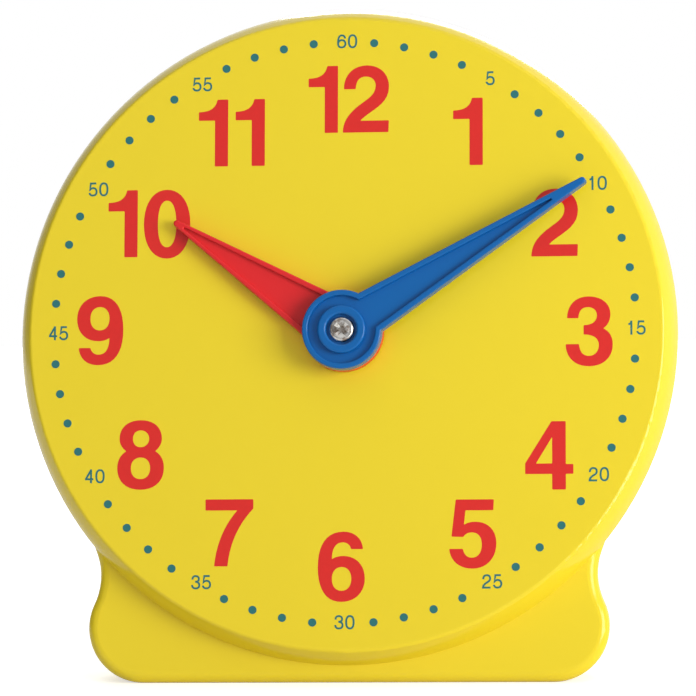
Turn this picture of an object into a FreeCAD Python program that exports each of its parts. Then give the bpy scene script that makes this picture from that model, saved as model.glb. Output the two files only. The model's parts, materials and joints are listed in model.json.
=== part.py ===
import FreeCAD, Part
import math
import os
import types

import Sketcher
from fcgear import fcgear, involute

# Geared teaching clock.
#
# Every piece is modelled in the dial frame: X to the right, Y up along the dial, Z out of the dial
# towards the reader, with the origin on the hands' axis in the dial's face. The dial leans back on
# its foot, so one placement carries the dial frame into the clock's own frame: +Z up, dial facing
# -Y, origin in the middle of the foot's flat underside.

SIZES = {
    # casing, front half
    "leanAngle": 12.0,          # dial's lean from upright
    "faceRadius": 59.75,        # flat part of the dial
    "faceEdgeRadius": 0.8,      # rounding round the flat part
    "flareAngle": 35.0,         # slope of the side wall where it leaves the rounding
    "wallRadius": 14.0,         # bulge of the side wall
    "wideDepth": 5.5,           # dial face to the widest part of the side wall
    "splitDepth": 8.0,          # dial face to the joint between the two shells
    "dialWall": 2.2,
    "sideWall": 2.0,
    # foot
    "axisHeight": 66.1,         # hands' axis to the foot's front bottom edge, along the dial
    "footStep": 5.0,            # dial face to the foot's front face
    "footWidth": 98.9,
    "earRadius": 10.5,
    "waistWidth": 94.5,
    "waistRadius": 12.5,
    "neckAngle": 20.0,          # flare of the neck above the waist
    "neckTop": 30.0,            # neck's buried end, below the axis
    "footEdgeRadius": 1.9,
    "footTaper": 1.2,           # how much the foot's outline shrinks towards the back
    # casing, rear half
    "caseDepth": 20.0,          # dial face to the back
    "backWall": 2.0,
    "rearDraft": 7.0,
    "rearEdgeRadius": 1.6,
    "lipHeight": 1.4,
    "lipWall": 1.3,
    "lipPlay": 0.3,
    "lipFoot": 1.5,
    # stiffening ribs inside the front shell
    "ribThickness": 1.2,
    "ribHeight": 3.5,
    "ribRingRadius": 46.0,
    # screws that hold the shells together
    "screwCount": 6,
    "screwWallGap": 1.2,        # rear screw bosses to the locating lip
    "frontBossRadius": 3.3,
    "rearBossRadius": 4.2,
    "screwRadius": 1.3,
    "screwPlay": 0.02,
    "screwHole": 1.55,
    "screwLength": 10.0,
    "screwTipGap": 0.5,
    "screwHeadRadius": 2.5,
    "screwHeadHeight": 1.8,
    "screwSink": 6.0,           # back of the case to the seat of the screw's head
    "screwSinkRadius": 2.9,
    "crossWidth": 0.75,
    "crossDepth": 0.9,
    "crossShare": 0.64,         # reach of the cross's arms, as a share of the head's radius
    "crownShare": 0.74,         # flat top of the head, as a share of the head's radius
    # gear train
    "gearModule": 0.8,
    "pressureAngle": 20.0,
    "minuteTeeth": 15,
    "firstWheelTeeth": 45,
    "secondPinionTeeth": 12,
    "hourTeeth": 48,
    "pinionAddendum": 1.0,
    "wheelAddendum": 0.75,
    "meshPlay": 0.1,            # added to the centre distance
    "trainAngle": 180.0,        # where the intermediate axle stands round the hands' axis
    "runningPlay": 0.05,        # radial clearance of every running fit
    "cutterOverrun": 1.0,       # how far a cutter runs past the face it opens
    "endGap": 0.1,              # left at the bottom of a blind hole
    "layerGap": 0.2,            # clearance between pieces that turn past each other
    "bearingBoss": 0.6,         # raised ring round the bore inside the dial
    "bearingBossRadius": 7.0,
    "hourWheelWidth": 2.5,
    "hourTubeRadius": 4.0,
    "hourSpigotRadius": 3.6,
    "hourSpigotFlat": 3.3,      # axis to each flat of the spigot
    "arborRadius": 2.5,
    "arborCollarRadius": 4.0,
    "arborCollar": 0.4,
    "minutePinionWidth": 3.0,
    "arborEndRadius": 1.8,
    "arborEndFlat": 1.5,
    "journalRadius": 2.0,
    "journalLength": 5.5,
    "journalBossRadius": 4.5,
    "firstWheelWidth": 2.4,
    "hubLift": 0.4,
    "wheelWeb": 0.8,            # depth of the recess in each wheel's web
    "wheelRimWidth": 2.4,
    "wheelHub": 7.2,
    "axleRadius": 1.5,
    "axleSeat": 1.4,
    "axleBossRadius": 4.0,
    "axleBoss": 0.5,
    "axleRearSeat": 6.0,
    "washerThickness": 0.8,
    "washerRadius": 4.5,
    "washerPlay": 0.05,
    # hands
    "hubRadius": 7.6,
    "handRimWidth": 1.2,
    "handTipRadius": 0.75,
    "handDraft": 3.5,           # the hands' sides lean in towards their tops
    "handEdgeRadius": 0.3,      # rounds both edges of the raised rim
    "channelTipRadius": 0.15,
    "hourHandLift": 0.5,        # dial face to the hour hand's underside
    "hourHandThickness": 2.4,
    "hourHandLength": 38.7,
    "hourHandRoot": 4.9,        # half width where the blade leaves the hub
    "hourHandFloor": 1.5,
    "hourChannelGap": 2.4,      # channel's end to the hand's tip
    "hourHandAngle": -56.7,     # clockwise from 12
    "handGap": 0.4,
    "minuteHandThickness": 2.4,
    "minuteHandLength": 53.75,
    "minuteHandRoot": 4.25,
    "minuteHandFloor": 1.2,
    "minuteChannelGap": 7.5,
    "minuteHandAngle": 58.6,
    "handBossRadius": 4.55,
    "handBossLift": 0.4,
    "handBossEdgeRadius": 0.45,
    "screwRecessRadius": 2.9,
    "screwSeat": 1.5,           # minute hand's underside to the seat of its screw
    "handScrewRadius": 0.9,
    "handScrewLength": 8.0,
    "handScrewHeadRadius": 2.15,
    "handScrewHeadHeight": 1.3,
    # easel leg
    "legOpenAngle": 22.0,
    "hingeHeight": 18.0,        # hands' axis to the leg's hinge, along the dial
    "hingeStandOff": 2.8,       # back of the case to the hinge axis
    "hingePinRadius": 1.25,
    "barrelRadius": 2.5,
    "legTopWidth": 24.0,
    "legTipWidth": 20.0,
    "legCornerRadius": 4.0,
    "legThickness": 3.2,
    "legBackGap": 0.5,          # leg's front face to the back of the case when folded
    "legRim": 2.0,
    "legPanelDepth": 1.4,
    "heelFace": 1.2,            # hinge axis to the heel's front face
    "stopGap": 0.05,
    "lugWidth": 4.0,
    "lugRadius": 3.3,
    "lugSideGap": 0.3,
    "lugFlare": 1.4,
}


class Size:
    """A number together with the sheet expression that gives it."""

    def __init__(self, value, text):
        self.value = float(value)
        self.text = text

    def __add__(self, other):
        other = asSize(other)
        return Size(self.value + other.value, f"({self.text} + {other.text})")

    def __sub__(self, other):
        other = asSize(other)
        return Size(self.value - other.value, f"({self.text} - {other.text})")

    def __mul__(self, other):
        other = asSize(other)
        return Size(self.value * other.value, f"({self.text} * {other.text})")

    def __truediv__(self, other):
        other = asSize(other)
        return Size(self.value / other.value, f"({self.text} / {other.text})")

    def __radd__(self, other):
        return asSize(other) + self

    def __rsub__(self, other):
        return asSize(other) - self

    def __rmul__(self, other):
        return asSize(other) * self

    def __neg__(self):
        return Size(-self.value, f"(0 - {self.text})")


def asSize(number):
    if isinstance(number, Size):
        return number
    return Size(number, f"({number:.9g})")


def sine(angle):
    return Size(math.sin(math.radians(angle.value)), f"sin({angle.text})")


def cosine(angle):
    return Size(math.cos(math.radians(angle.value)), f"cos({angle.text})")


def tangent(angle):
    return Size(math.tan(math.radians(angle.value)), f"tan({angle.text})")


def root(area):
    return Size(math.sqrt(area.value), f"sqrt({area.text})")


doc = FreeCAD.newDocument("TeachingClock")
sheet = doc.addObject("Spreadsheet::Sheet", "Sizes")
d = types.SimpleNamespace()
for row, (name, value) in enumerate(SIZES.items(), start=1):
    sheet.set(f"A{row}", name)
    sheet.set(f"B{row}", str(value))
    sheet.setAlias(f"B{row}", name)
    setattr(d, name, Size(value, f"Sizes.{name}"))
doc.recompute()


# ---- sizes that follow from the driving ones ----

nothing = asSize(0)
slope = tangent(d.leanAngle)                    # how fast the underside climbs towards the back
wallStart = d.faceEdgeRadius * (1 - sine(d.flareAngle))
wallTopRadius = d.faceRadius + d.faceEdgeRadius * cosine(d.flareAngle)


def wallRadiusAt(depth):
    """Outer radius of the front shell's bulging side wall at a depth below the dial's face."""
    lean = sine(d.flareAngle) - (depth - wallStart) / d.wallRadius
    return wallTopRadius + d.wallRadius * (root(1 - lean * lean) - cosine(d.flareAngle))


rimRadius = wallRadiusAt(d.wideDepth)
splitRadius = rimRadius - (d.splitDepth - d.wideDepth) * tangent(d.rearDraft)
cavityTopRadius = wallRadiusAt(d.dialWall) - d.sideWall
cavityRimRadius = splitRadius - d.sideWall
lipOuter = cavityRimRadius - d.lipPlay
lipInner = lipOuter - d.lipWall
screwCircle = lipInner - d.screwWallGap - d.rearBossRadius

earX = d.footWidth / 2 - d.earRadius
earY = d.earRadius - d.axisHeight
waistX = d.waistWidth / 2 + d.waistRadius
bendSum = d.waistRadius + d.earRadius
waistY = earY + root(bendSum * bendSum - (waistX - earX) * (waistX - earX))

gearSum = d.minuteTeeth + d.firstWheelTeeth
centreDistance = d.gearModule * gearSum / 2 + d.meshPlay
trainX = centreDistance * cosine(d.trainAngle)
trainY = centreDistance * sine(d.trainAngle)

# depths along Z, from the dial's face backwards
bearingFace = -(d.dialWall + d.bearingBoss)
hourWheelFront = bearingFace - d.layerGap
hourWheelRear = hourWheelFront - d.hourWheelWidth
collarFront = hourWheelRear - d.layerGap
pinionFront = collarFront - d.arborCollar
pinionRear = pinionFront - d.minutePinionWidth
journalBossFace = pinionRear - d.washerThickness - 2 * d.washerPlay
journalEnd = journalBossFace - d.journalLength
firstWheelFront = pinionFront - (d.minutePinionWidth - d.firstWheelWidth) / 2
firstWheelRear = firstWheelFront - d.firstWheelWidth
axleBossFace = -(d.dialWall + d.axleBoss)
secondPinionFront = axleBossFace - d.layerGap
axleFrontEnd = axleBossFace + d.axleSeat - d.endGap
hubRear = firstWheelRear - d.hubLift
axleRearFace = hubRear - d.layerGap
axleRearEnd = axleRearFace - d.axleRearSeat

# heights along Z, in front of the dial
hourHandTop = d.hourHandLift + d.hourHandThickness
minuteHandBase = hourHandTop + d.handGap
hourSpigotEnd = hourHandTop + d.handGap / 4
arborEnd = minuteHandBase + d.screwSeat - d.handGap / 4

hingeDepth = d.caseDepth + d.hingeStandOff
legFace = d.hingeStandOff - d.legBackGap
openLessLean = d.legOpenAngle - d.leanAngle
baseLift = d.axisHeight * cosine(d.leanAngle) + d.footStep * sine(d.leanAngle)
legLength = (
    d.hingeHeight * cosine(d.leanAngle) - hingeDepth * sine(d.leanAngle) + baseLift
    - legFace * sine(openLessLean)
) / cosine(openLessLean)
heelLength = (d.hingeStandOff - d.stopGap - d.heelFace * cosine(d.legOpenAngle)) / sine(d.legOpenAngle)


# ---- placements ----

def dialPlacement():
    lean = math.radians(d.leanAngle.value)
    middleDepth = (d.footStep.value + d.caseDepth.value) / 2
    middleY = -d.axisHeight.value + (middleDepth - d.footStep.value) * slope.value
    originY = -(middleDepth * math.cos(lean) + middleY * math.sin(lean))
    rotation = FreeCAD.Rotation(FreeCAD.Vector(1, 0, 0), 90 - d.leanAngle.value)
    return FreeCAD.Placement(FreeCAD.Vector(0, originY, baseLift.value), rotation)


def spun(x, y, z, angle):
    """Placement in the dial frame: a point, and a turn about Z in degrees."""
    rotation = FreeCAD.Rotation(FreeCAD.Vector(0, 0, 1), angle)
    values = [asSize(v).value for v in (x, y, z)]
    return FreeCAD.Placement(FreeCAD.Vector(*values), rotation)


def finish(piece, label, place=None):
    """Give a finished piece its label and its place in the clock."""
    piece.Label = label
    piece.Placement = dialPlacement() * (place or FreeCAD.Placement())
    pieces.append(piece)
    return piece


pieces = []


# ---- small drawing helpers ----

def newBody(name):
    return doc.addObject("PartDesign::Body", name)


def newSketch(body, name, role="XY_Plane", lift=0.0, turn=0.0):
    sketch = body.newObject("Sketcher::SketchObject", name)
    plane = next(f for f in body.Origin.OriginFeatures if f.Role == role)
    sketch.AttachmentSupport = (plane, "")
    sketch.MapMode = "FlatFace"
    turned = FreeCAD.Rotation(FreeCAD.Vector(0, 0, 1), turn)
    sketch.AttachmentOffset = FreeCAD.Placement(FreeCAD.Vector(0, 0, asSize(lift).value), turned)
    if isinstance(lift, Size):
        sketch.setExpression("AttachmentOffset.Base.z", lift.text)
    return sketch


def bindConstraint(sketch, kind, arguments, amount):
    index = sketch.addConstraint(Sketcher.Constraint(kind, *arguments, amount.value))
    sketch.setExpression(f"Constraints[{index}]", amount.text)


def pinPoint(sketch, edge, end, x, y):
    """Hold one end (or centre) of an edge at a place given by two sizes."""
    for kind, axis, amount in (("DistanceX", -2, asSize(x)), ("DistanceY", -1, asSize(y))):
        if abs(amount.value) < 1e-9 and amount.text == "(0)":
            sketch.addConstraint(Sketcher.Constraint("PointOnObject", edge, end, axis))
        else:
            bindConstraint(sketch, kind, (edge, end), amount)


def drawOutline(sketch, points):
    """Closed outline. A point is (x, y), or (x, y, radius) when an arc leads to it."""
    places = [FreeCAD.Vector(asSize(p[0]).value, asSize(p[1]).value, 0) for p in points]
    first = sketch.GeometryCount
    for i, point in enumerate(points):
        start, end = places[i - 1], places[i]
        if len(point) == 3:
            radius = asSize(point[2])
            arc = sketch.addGeometry(arcEnds(start, end, radius.value), False)
            bindConstraint(sketch, "Radius", (arc,), radius if radius.value > 0 else -radius)
        else:
            sketch.addGeometry(Part.LineSegment(start, end), False)
    count = len(points)
    turnsRight = [len(p) == 3 and asSize(p[2]).value < 0 for p in points]
    for i in range(count):
        following = (i + 1) % count
        endOf = 1 if turnsRight[i] else 2
        startOf = 2 if turnsRight[following] else 1
        edges = (first + i, endOf, first + following, startOf)
        sketch.addConstraint(Sketcher.Constraint("Coincident", *edges))
        pinPoint(sketch, first + i, endOf, points[i][0], points[i][1])


def arcEnds(start, end, radius):
    """Minor arc between two points; it turns left when the radius is positive."""
    chord = end - start
    left = FreeCAD.Vector(-chord.y, chord.x, 0).normalize()
    rise = math.sqrt(max(radius * radius - chord.Length * chord.Length / 4, 0))
    centre = (start + end) * 0.5 + left * math.copysign(rise, radius)
    ends = (start, end) if radius > 0 else (end, start)
    angles = [math.atan2(point.y - centre.y, point.x - centre.x) for point in ends]
    if angles[1] < angles[0]:
        angles[1] += 2 * math.pi
    return Part.ArcOfCircle(Part.Circle(centre, FreeCAD.Vector(0, 0, 1), abs(radius)), *angles)


def drawCircle(sketch, x, y, radius):
    radius = asSize(radius)
    centre = FreeCAD.Vector(asSize(x).value, asSize(y).value, 0)
    circle = sketch.addGeometry(Part.Circle(centre, FreeCAD.Vector(0, 0, 1), radius.value), False)
    bindConstraint(sketch, "Radius", (circle,), radius)
    pinPoint(sketch, circle, 3, x, y)


def drawBox(sketch, left, bottom, right, top):
    drawOutline(sketch, [(left, bottom), (right, bottom), (right, top), (left, top)])


def flattened(sketch, radius, flat):
    """Circle with two flats at the same distance either side of the centre."""
    half = root(radius * radius - flat * flat)
    drawOutline(sketch, [(half, -flat), (half, flat, radius), (-half, flat), (-half, -flat, radius)])


def extrude(body, kind, name, sketch, length, towardsBack):
    """Pad or Pocket of a sketch, square to it."""
    feature = body.newObject(f"PartDesign::{kind}", name)
    feature.Profile = sketch
    feature.setExpression("Length", asSize(length).text)
    feature.Reversed = towardsBack if kind == "Pad" else not towardsBack
    sketch.Visibility = False
    return feature


def loft(body, kind, name, sketches):
    """Straight-sided loft through sketches that share one order of edges."""
    feature = body.newObject(f"PartDesign::{kind}Loft", name)
    feature.Profile = sketches[0]
    feature.Sections = sketches[1:]
    feature.Ruled = True
    for sketch in sketches:
        sketch.Visibility = False
    return feature


def revolve(body, kind, name, sketch):
    feature = body.newObject(f"PartDesign::{kind}", name)
    feature.Profile = sketch
    feature.ReferenceAxis = (sketch, ["V_Axis"])
    feature.Angle = 360
    return feature


def pattern(body, name, features, count):
    """Repeat features round the dial's axis."""
    ring = body.newObject("PartDesign::PolarPattern", name)
    ring.Originals = features
    ring.Axis = (next(f for f in body.Origin.OriginFeatures if f.Role == "Z_Axis"), [""])
    ring.Angle = 360
    ring.setExpression("Occurrences", asSize(count).text)
    body.Tip = ring
    return ring


def roundEdges(body, name, base, radius, wanted):
    """Fillet the edges of a feature that a test picks out."""
    doc.recompute()
    edges = [f"Edge{i}" for i, edge in enumerate(base.Shape.Edges, start=1) if wanted(edge)]
    fillet = body.newObject("PartDesign::Fillet", name)
    fillet.Base = (base, edges)
    fillet.setExpression("Radius", radius.text)
    body.Tip = fillet
    return fillet


def edgeLiesAt(z):
    def test(edge):
        return all(abs(vertex.Z - z.value) < 1e-6 for vertex in edge.Vertexes)
    return test


# ---- outlines that more than one piece uses ----

def footOutline(sketch, inset, shift):
    """Foot seen from the front, drawn inside its edge by inset and moved up by shift."""
    ear = d.earRadius - inset
    waist = d.waistRadius + inset
    reach = root(bendSum * bendSum - (waistX - earX) * (waistX - earX))
    touchX = earX + ear * (waistX - earX) / bendSum      # where ear and waist meet
    touchY = earY + ear * reach / bendSum + shift
    neckX = waistX - waist * cosine(d.neckAngle)
    neckY = waistY + waist * sine(d.neckAngle) + shift
    bottom = inset - d.axisHeight + shift
    topY = shift - d.neckTop
    topX = neckX + (topY - neckY) * tangent(d.neckAngle)
    sideX = earX + ear
    sideY = earY + shift
    drawOutline(sketch, [
        (topX, topY), (-topX, topY),
        (-neckX, neckY), (-touchX, touchY, -waist),
        (-sideX, sideY, ear), (-earX, bottom, ear),
        (earX, bottom), (sideX, sideY, ear),
        (touchX, touchY, ear), (neckX, neckY, -waist),
    ])


def footSection(body, name, depth, taper, wall):
    """The foot cut across at a depth, smaller by taper and drawn inside its skin by wall."""
    sketch = newSketch(body, name, lift=-depth)
    footOutline(sketch, taper + wall, (depth - d.footStep) * slope - taper)
    return sketch


def handOutline(sketch, hub, halfRoot, end, tip, inset):
    """Hub circle and tapering blade in one outline, the blade pointing along +Y."""
    radius = hub - inset
    halfWidth = halfRoot - inset
    rootY = root(radius * radius - halfWidth * halfWidth)
    tipY = end - tip
    drawOutline(sketch, [
        (halfWidth, rootY, radius), (tip, tipY),
        (0, end, tip), (-tip, tipY, tip),
        (-halfWidth, rootY),
        (-radius, 0, radius), (0, -radius, radius), (radius, 0, radius),
    ])


# ---- casing ----

def makeFrontShell():
    body = newBody("FrontShell")

    front = footSection(body, "FootFront", d.footStep, nothing, nothing)
    joint = footSection(body, "FootJoint", d.splitDepth, nothing, nothing)
    foot = loft(body, "Additive", "FootBlock", [front, joint])
    roundEdges(body, "FootEdge", foot, d.footEdgeRadius, edgeLiesAt(-d.footStep))

    section = newSketch(body, "DialSection", "XZ_Plane")
    drawOutline(section, [
        (0, 0), (0, -d.splitDepth), (splitRadius, -d.splitDepth), (rimRadius, -d.wideDepth),
        (wallTopRadius, -wallStart, d.wallRadius), (d.faceRadius, 0, d.faceEdgeRadius),
    ])
    revolve(body, "Revolution", "DialDisc", section)

    hollow = newSketch(body, "DialHollowSection", "XZ_Plane")
    drawOutline(hollow, [
        (0, -d.dialWall), (0, -d.splitDepth - d.cutterOverrun),
        (cavityRimRadius, -d.splitDepth - d.cutterOverrun),
        (cavityRimRadius, -d.splitDepth), (cavityTopRadius, -d.dialWall),
    ])
    revolve(body, "Groove", "DialHollow", hollow)

    ring = newSketch(body, "RibRing", lift=-d.dialWall - d.ribHeight)
    drawCircle(ring, 0, 0, d.ribRingRadius)
    drawCircle(ring, 0, 0, d.ribRingRadius + d.ribThickness)
    extrude(body, "Pad", "RibRingPad", ring, d.ribHeight + d.dialWall / 2, False)
    rib = newSketch(body, "RibOutline", lift=-d.dialWall - d.ribHeight, turn=30)
    drawBox(rib, d.ribRingRadius + d.ribThickness / 2, -d.ribThickness / 2,
            cavityTopRadius + d.sideWall / 4, d.ribThickness / 2)
    ribPad = extrude(body, "Pad", "Rib", rib, d.ribHeight + d.dialWall / 2, False)
    pattern(body, "Ribs", [ribPad], d.screwCount)

    boss = newSketch(body, "ScrewBossOutline", lift=-d.splitDepth)
    drawCircle(boss, screwCircle, 0, d.frontBossRadius)
    bossPad = extrude(body, "Pad", "ScrewBoss", boss, d.splitDepth - d.dialWall / 2, False)
    pattern(body, "ScrewBosses", [bossPad], d.screwCount)
    pilot = newSketch(body, "PilotOutline", lift=-d.splitDepth)
    drawCircle(pilot, screwCircle, 0, d.screwRadius + d.screwPlay)
    pilotDepth = d.screwLength + d.screwTipGap - (d.caseDepth - d.screwSink - d.splitDepth)
    pilotCut = extrude(body, "Pocket", "Pilot", pilot, pilotDepth, False)
    pattern(body, "Pilots", [pilotCut], d.screwCount)

    bearing = newSketch(body, "BearingBossOutline", lift=bearingFace)
    drawCircle(bearing, 0, 0, d.bearingBossRadius)
    extrude(body, "Pad", "BearingBoss", bearing, d.bearingBoss + d.dialWall / 2, False)
    seat = newSketch(body, "AxleBossOutline", lift=axleBossFace)
    drawCircle(seat, trainX, trainY, d.axleBossRadius)
    extrude(body, "Pad", "AxleBossPad", seat, d.axleBoss + d.dialWall / 2, False)
    bore = newSketch(body, "BoreOutline", lift=bearingFace)
    drawCircle(bore, 0, 0, d.hourTubeRadius + d.runningPlay)
    extrude(body, "Pocket", "Bore", bore, 2 * (d.dialWall + d.bearingBoss), False)
    blind = newSketch(body, "AxleSeatOutline", lift=axleBossFace)
    drawCircle(blind, trainX, trainY, d.axleRadius)
    extrude(body, "Pocket", "AxleSeatHole", blind, d.axleSeat, False)
    return finish(body, "front_shell")


def makeRearShell():
    body = newBody("RearShell")
    halfDepth = d.caseDepth - d.splitDepth
    backRadius = splitRadius - (halfDepth - d.rearEdgeRadius) * tangent(d.rearDraft)
    floor = d.caseDepth - d.backWall

    joint = footSection(body, "FootJoint", d.splitDepth, nothing, nothing)
    back = footSection(body, "FootBack", d.caseDepth, d.footTaper, nothing)
    foot = loft(body, "Additive", "FootBlock", [joint, back])
    roundEdges(body, "FootEdge", foot, d.rearEdgeRadius, edgeLiesAt(-d.caseDepth))
    mouth = footSection(body, "FootMouth", d.splitDepth, nothing, d.sideWall)
    floorTaper = d.footTaper * (floor - d.splitDepth) / halfDepth
    inside = footSection(body, "FootFloor", floor, floorTaper, d.sideWall)
    loft(body, "Subtractive", "FootHollow", [mouth, inside])

    section = newSketch(body, "BackSection", "XZ_Plane")
    drawOutline(section, [
        (0, -d.splitDepth), (0, -d.caseDepth),
        (backRadius - d.rearEdgeRadius, -d.caseDepth),
        (backRadius, d.rearEdgeRadius - d.caseDepth, d.rearEdgeRadius),
        (splitRadius, -d.splitDepth),
    ])
    revolve(body, "Revolution", "BackDisc", section)

    hollow = newSketch(body, "BackHollowSection", "XZ_Plane")
    drawOutline(hollow, [
        (0, d.cutterOverrun - d.splitDepth), (0, -floor), (backRadius - d.sideWall, -floor),
        (cavityRimRadius, -d.splitDepth), (cavityRimRadius, d.cutterOverrun - d.splitDepth),
    ])
    revolve(body, "Groove", "BackHollow", hollow)

    lip = newSketch(body, "LipSection", "XZ_Plane")
    drawOutline(lip, [
        (lipInner, d.lipHeight - d.splitDepth), (lipInner, -d.splitDepth - d.lipFoot),
        (cavityRimRadius + d.sideWall / 4, -d.splitDepth - 2 * d.lipFoot),
        (cavityRimRadius + d.sideWall / 4, -d.splitDepth), (lipOuter, -d.splitDepth),
        (lipOuter, d.lipHeight - d.splitDepth),
    ])
    revolve(body, "Revolution", "Lip", lip)

    boss = newSketch(body, "ScrewBossOutline", lift=-d.splitDepth)
    drawCircle(boss, screwCircle, 0, d.rearBossRadius)
    bossPad = extrude(body, "Pad", "ScrewBoss", boss, floor - d.splitDepth + d.backWall / 2, True)
    pattern(body, "ScrewBosses", [bossPad], d.screwCount)
    hole = newSketch(body, "ScrewHoleOutline", lift=-d.splitDepth)
    drawCircle(hole, screwCircle, 0, d.screwHole)
    holeCut = extrude(body, "Pocket", "ScrewHole", hole, halfDepth + d.cutterOverrun, True)
    pattern(body, "ScrewHoles", [holeCut], d.screwCount)
    sink = newSketch(body, "ScrewSinkOutline", lift=-d.caseDepth)
    drawCircle(sink, screwCircle, 0, d.screwSinkRadius)
    sinkCut = extrude(body, "Pocket", "ScrewSink", sink, d.screwSink, False)
    pattern(body, "ScrewSinks", [sinkCut], d.screwCount)

    journal = newSketch(body, "JournalBossOutline", lift=journalBossFace)
    drawCircle(journal, 0, 0, d.journalBossRadius)
    extrude(body, "Pad", "JournalBoss", journal, floor + journalBossFace + d.backWall / 2, True)
    axle = newSketch(body, "AxleBossOutline", lift=axleRearFace)
    drawCircle(axle, trainX, trainY, d.axleBossRadius)
    extrude(body, "Pad", "AxleBoss", axle, floor + axleRearFace + d.backWall / 2, True)
    journalBore = newSketch(body, "JournalBoreOutline", lift=journalBossFace)
    drawCircle(journalBore, 0, 0, d.journalRadius + d.runningPlay)
    extrude(body, "Pocket", "JournalBore", journalBore, d.journalLength + d.layerGap, True)
    axleBore = newSketch(body, "AxleBoreOutline", lift=axleRearFace)
    drawCircle(axleBore, trainX, trainY, d.axleRadius)
    extrude(body, "Pocket", "AxleBore", axleBore, d.axleRearSeat + d.layerGap, True)

    lugStart = d.legTopWidth / 2 + d.lugSideGap
    lugRoot = d.lugRadius + d.lugFlare
    lug = newSketch(body, "LugOutline", "YZ_Plane", lift=lugStart)
    drawOutline(lug, [
        (d.hingeHeight - lugRoot, d.backWall / 2 - d.caseDepth),
        (d.hingeHeight - lugRoot, -d.caseDepth),
        (d.hingeHeight - d.lugRadius, -hingeDepth),
        (d.hingeHeight, -hingeDepth - d.lugRadius, d.lugRadius),
        (d.hingeHeight + d.lugRadius, -hingeDepth, d.lugRadius),
        (d.hingeHeight + lugRoot, -d.caseDepth),
        (d.hingeHeight + lugRoot, d.backWall / 2 - d.caseDepth),
    ])
    lugPad = extrude(body, "Pad", "Lug", lug, d.lugWidth, False)
    pinHole = newSketch(body, "PinHoleOutline", "YZ_Plane", lift=lugStart)
    drawCircle(pinHole, d.hingeHeight, -hingeDepth, d.hingePinRadius)
    pinCut = extrude(body, "Pocket", "PinHole", pinHole, d.lugWidth, False)
    mirror = body.newObject("PartDesign::Mirrored", "Lugs")
    mirror.Originals = [lugPad, pinCut]
    yzPlane = next(f for f in body.Origin.OriginFeatures if f.Role == "YZ_Plane")
    mirror.MirrorPlane = (yzPlane, [""])
    body.Tip = mirror
    return finish(body, "rear_shell")


# ---- screws ----

def makeScrew(name, label, sizes, place):
    """Pan-head screw: seat of the head at Z = 0, shank towards +Z, cross slot in the head."""
    radius, length, headRadius, headHeight = sizes
    body = newBody(name)
    section = newSketch(body, "Section", "XZ_Plane")
    drawOutline(section, [
        (0, length), (0, -headHeight), (headRadius * d.crownShare, -headHeight),
        (headRadius, -headHeight * 0.35, headRadius * 0.55), (headRadius, 0), (radius, 0),
        (radius, length - radius), (radius * 0.3, length),
    ])
    revolve(body, "Revolution", "Turned", section)
    cross = newSketch(body, "Cross", lift=-headHeight)
    arm = headRadius * d.crossShare
    half = d.crossWidth / 2
    drawOutline(cross, [
        (arm, -half), (arm, half), (half, half), (half, arm), (-half, arm), (-half, half),
        (-arm, half), (-arm, -half), (-half, -half), (-half, -arm), (half, -arm), (half, -half),
    ])
    extrude(body, "Pocket", "CrossSlot", cross, d.crossDepth, False)
    return finish(body, label, place)


def makeCoverScrews():
    sizes = (d.screwRadius, d.screwLength, d.screwHeadRadius, d.screwHeadHeight)
    seat = d.screwSink - d.caseDepth
    count = int(d.screwCount.value)
    for i in range(count):
        turn = 360.0 * i / count
        x = screwCircle.value * math.cos(math.radians(turn))
        y = screwCircle.value * math.sin(math.radians(turn))
        makeScrew(f"CoverScrew{i + 1}", f"cover_screw_{i + 1}", sizes, spun(x, y, seat, turn))


def makeHandScrew():
    sizes = (d.handScrewRadius, d.handScrewLength, d.handScrewHeadRadius, d.handScrewHeadHeight)
    over = FreeCAD.Placement(FreeCAD.Vector(0, 0, 0), FreeCAD.Rotation(FreeCAD.Vector(1, 0, 0), 180))
    place = spun(0, 0, minuteHandBase + d.screwSeat, 32.0) * over
    makeScrew("HandScrew", "hand_screw", sizes, place)


# ---- gear train ----

def gearBlank(name, teeth, addendum, rear, width, turn):
    """Involute gear as an extrusion from its rear face towards the dial."""
    wires = fcgear.FCWireBuilder()
    involute.CreateExternalGear(
        wires, d.gearModule.value, int(teeth.value), d.pressureAngle.value, split=False,
        addCoeff=addendum.value,
    )
    profile = doc.addObject("Part::Feature", name + "Profile")
    profile.Shape = Part.Wire([edge.toShape() for edge in wires.wire])
    profile.Placement = spun(0, 0, rear, turn)
    blank = doc.addObject("Part::Extrusion", name)
    blank.Base = profile
    blank.DirMode = "Custom"
    blank.Dir = FreeCAD.Vector(0, 0, 1)
    blank.setExpression("LengthFwd", width.text)
    blank.Solid = True
    return blank


def rod(name, radius, length):
    """Cylinder that stands on its own origin."""
    solid = doc.addObject("Part::Cylinder", name)
    solid.setExpression("Radius", radius.text)
    solid.setExpression("Height", length.text)
    return solid


def cylinder(name, radius, low, high):
    """Cylinder round the Z axis between two heights."""
    solid = rod(name, radius, high - low)
    solid.setExpression("Placement.Base.z", low.text)
    return solid


def fused(name, solids):
    whole = doc.addObject("Part::MultiFuse", name)
    whole.Shapes = solids
    whole.Refine = True
    return whole


def cut(name, base, tool):
    whole = doc.addObject("Part::Cut", name)
    whole.Base = base
    whole.Tool = tool
    return whole


def webRecess(name, outer, low, high):
    """Ring-shaped cutter that thins a wheel's web between its hub and its rim."""
    return cut(name, cylinder(name + "Outer", outer, low, high),
               cylinder(name + "Inner", d.wheelHub, low, high))


def toothPitch(teeth):
    return 360.0 / teeth.value


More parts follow.
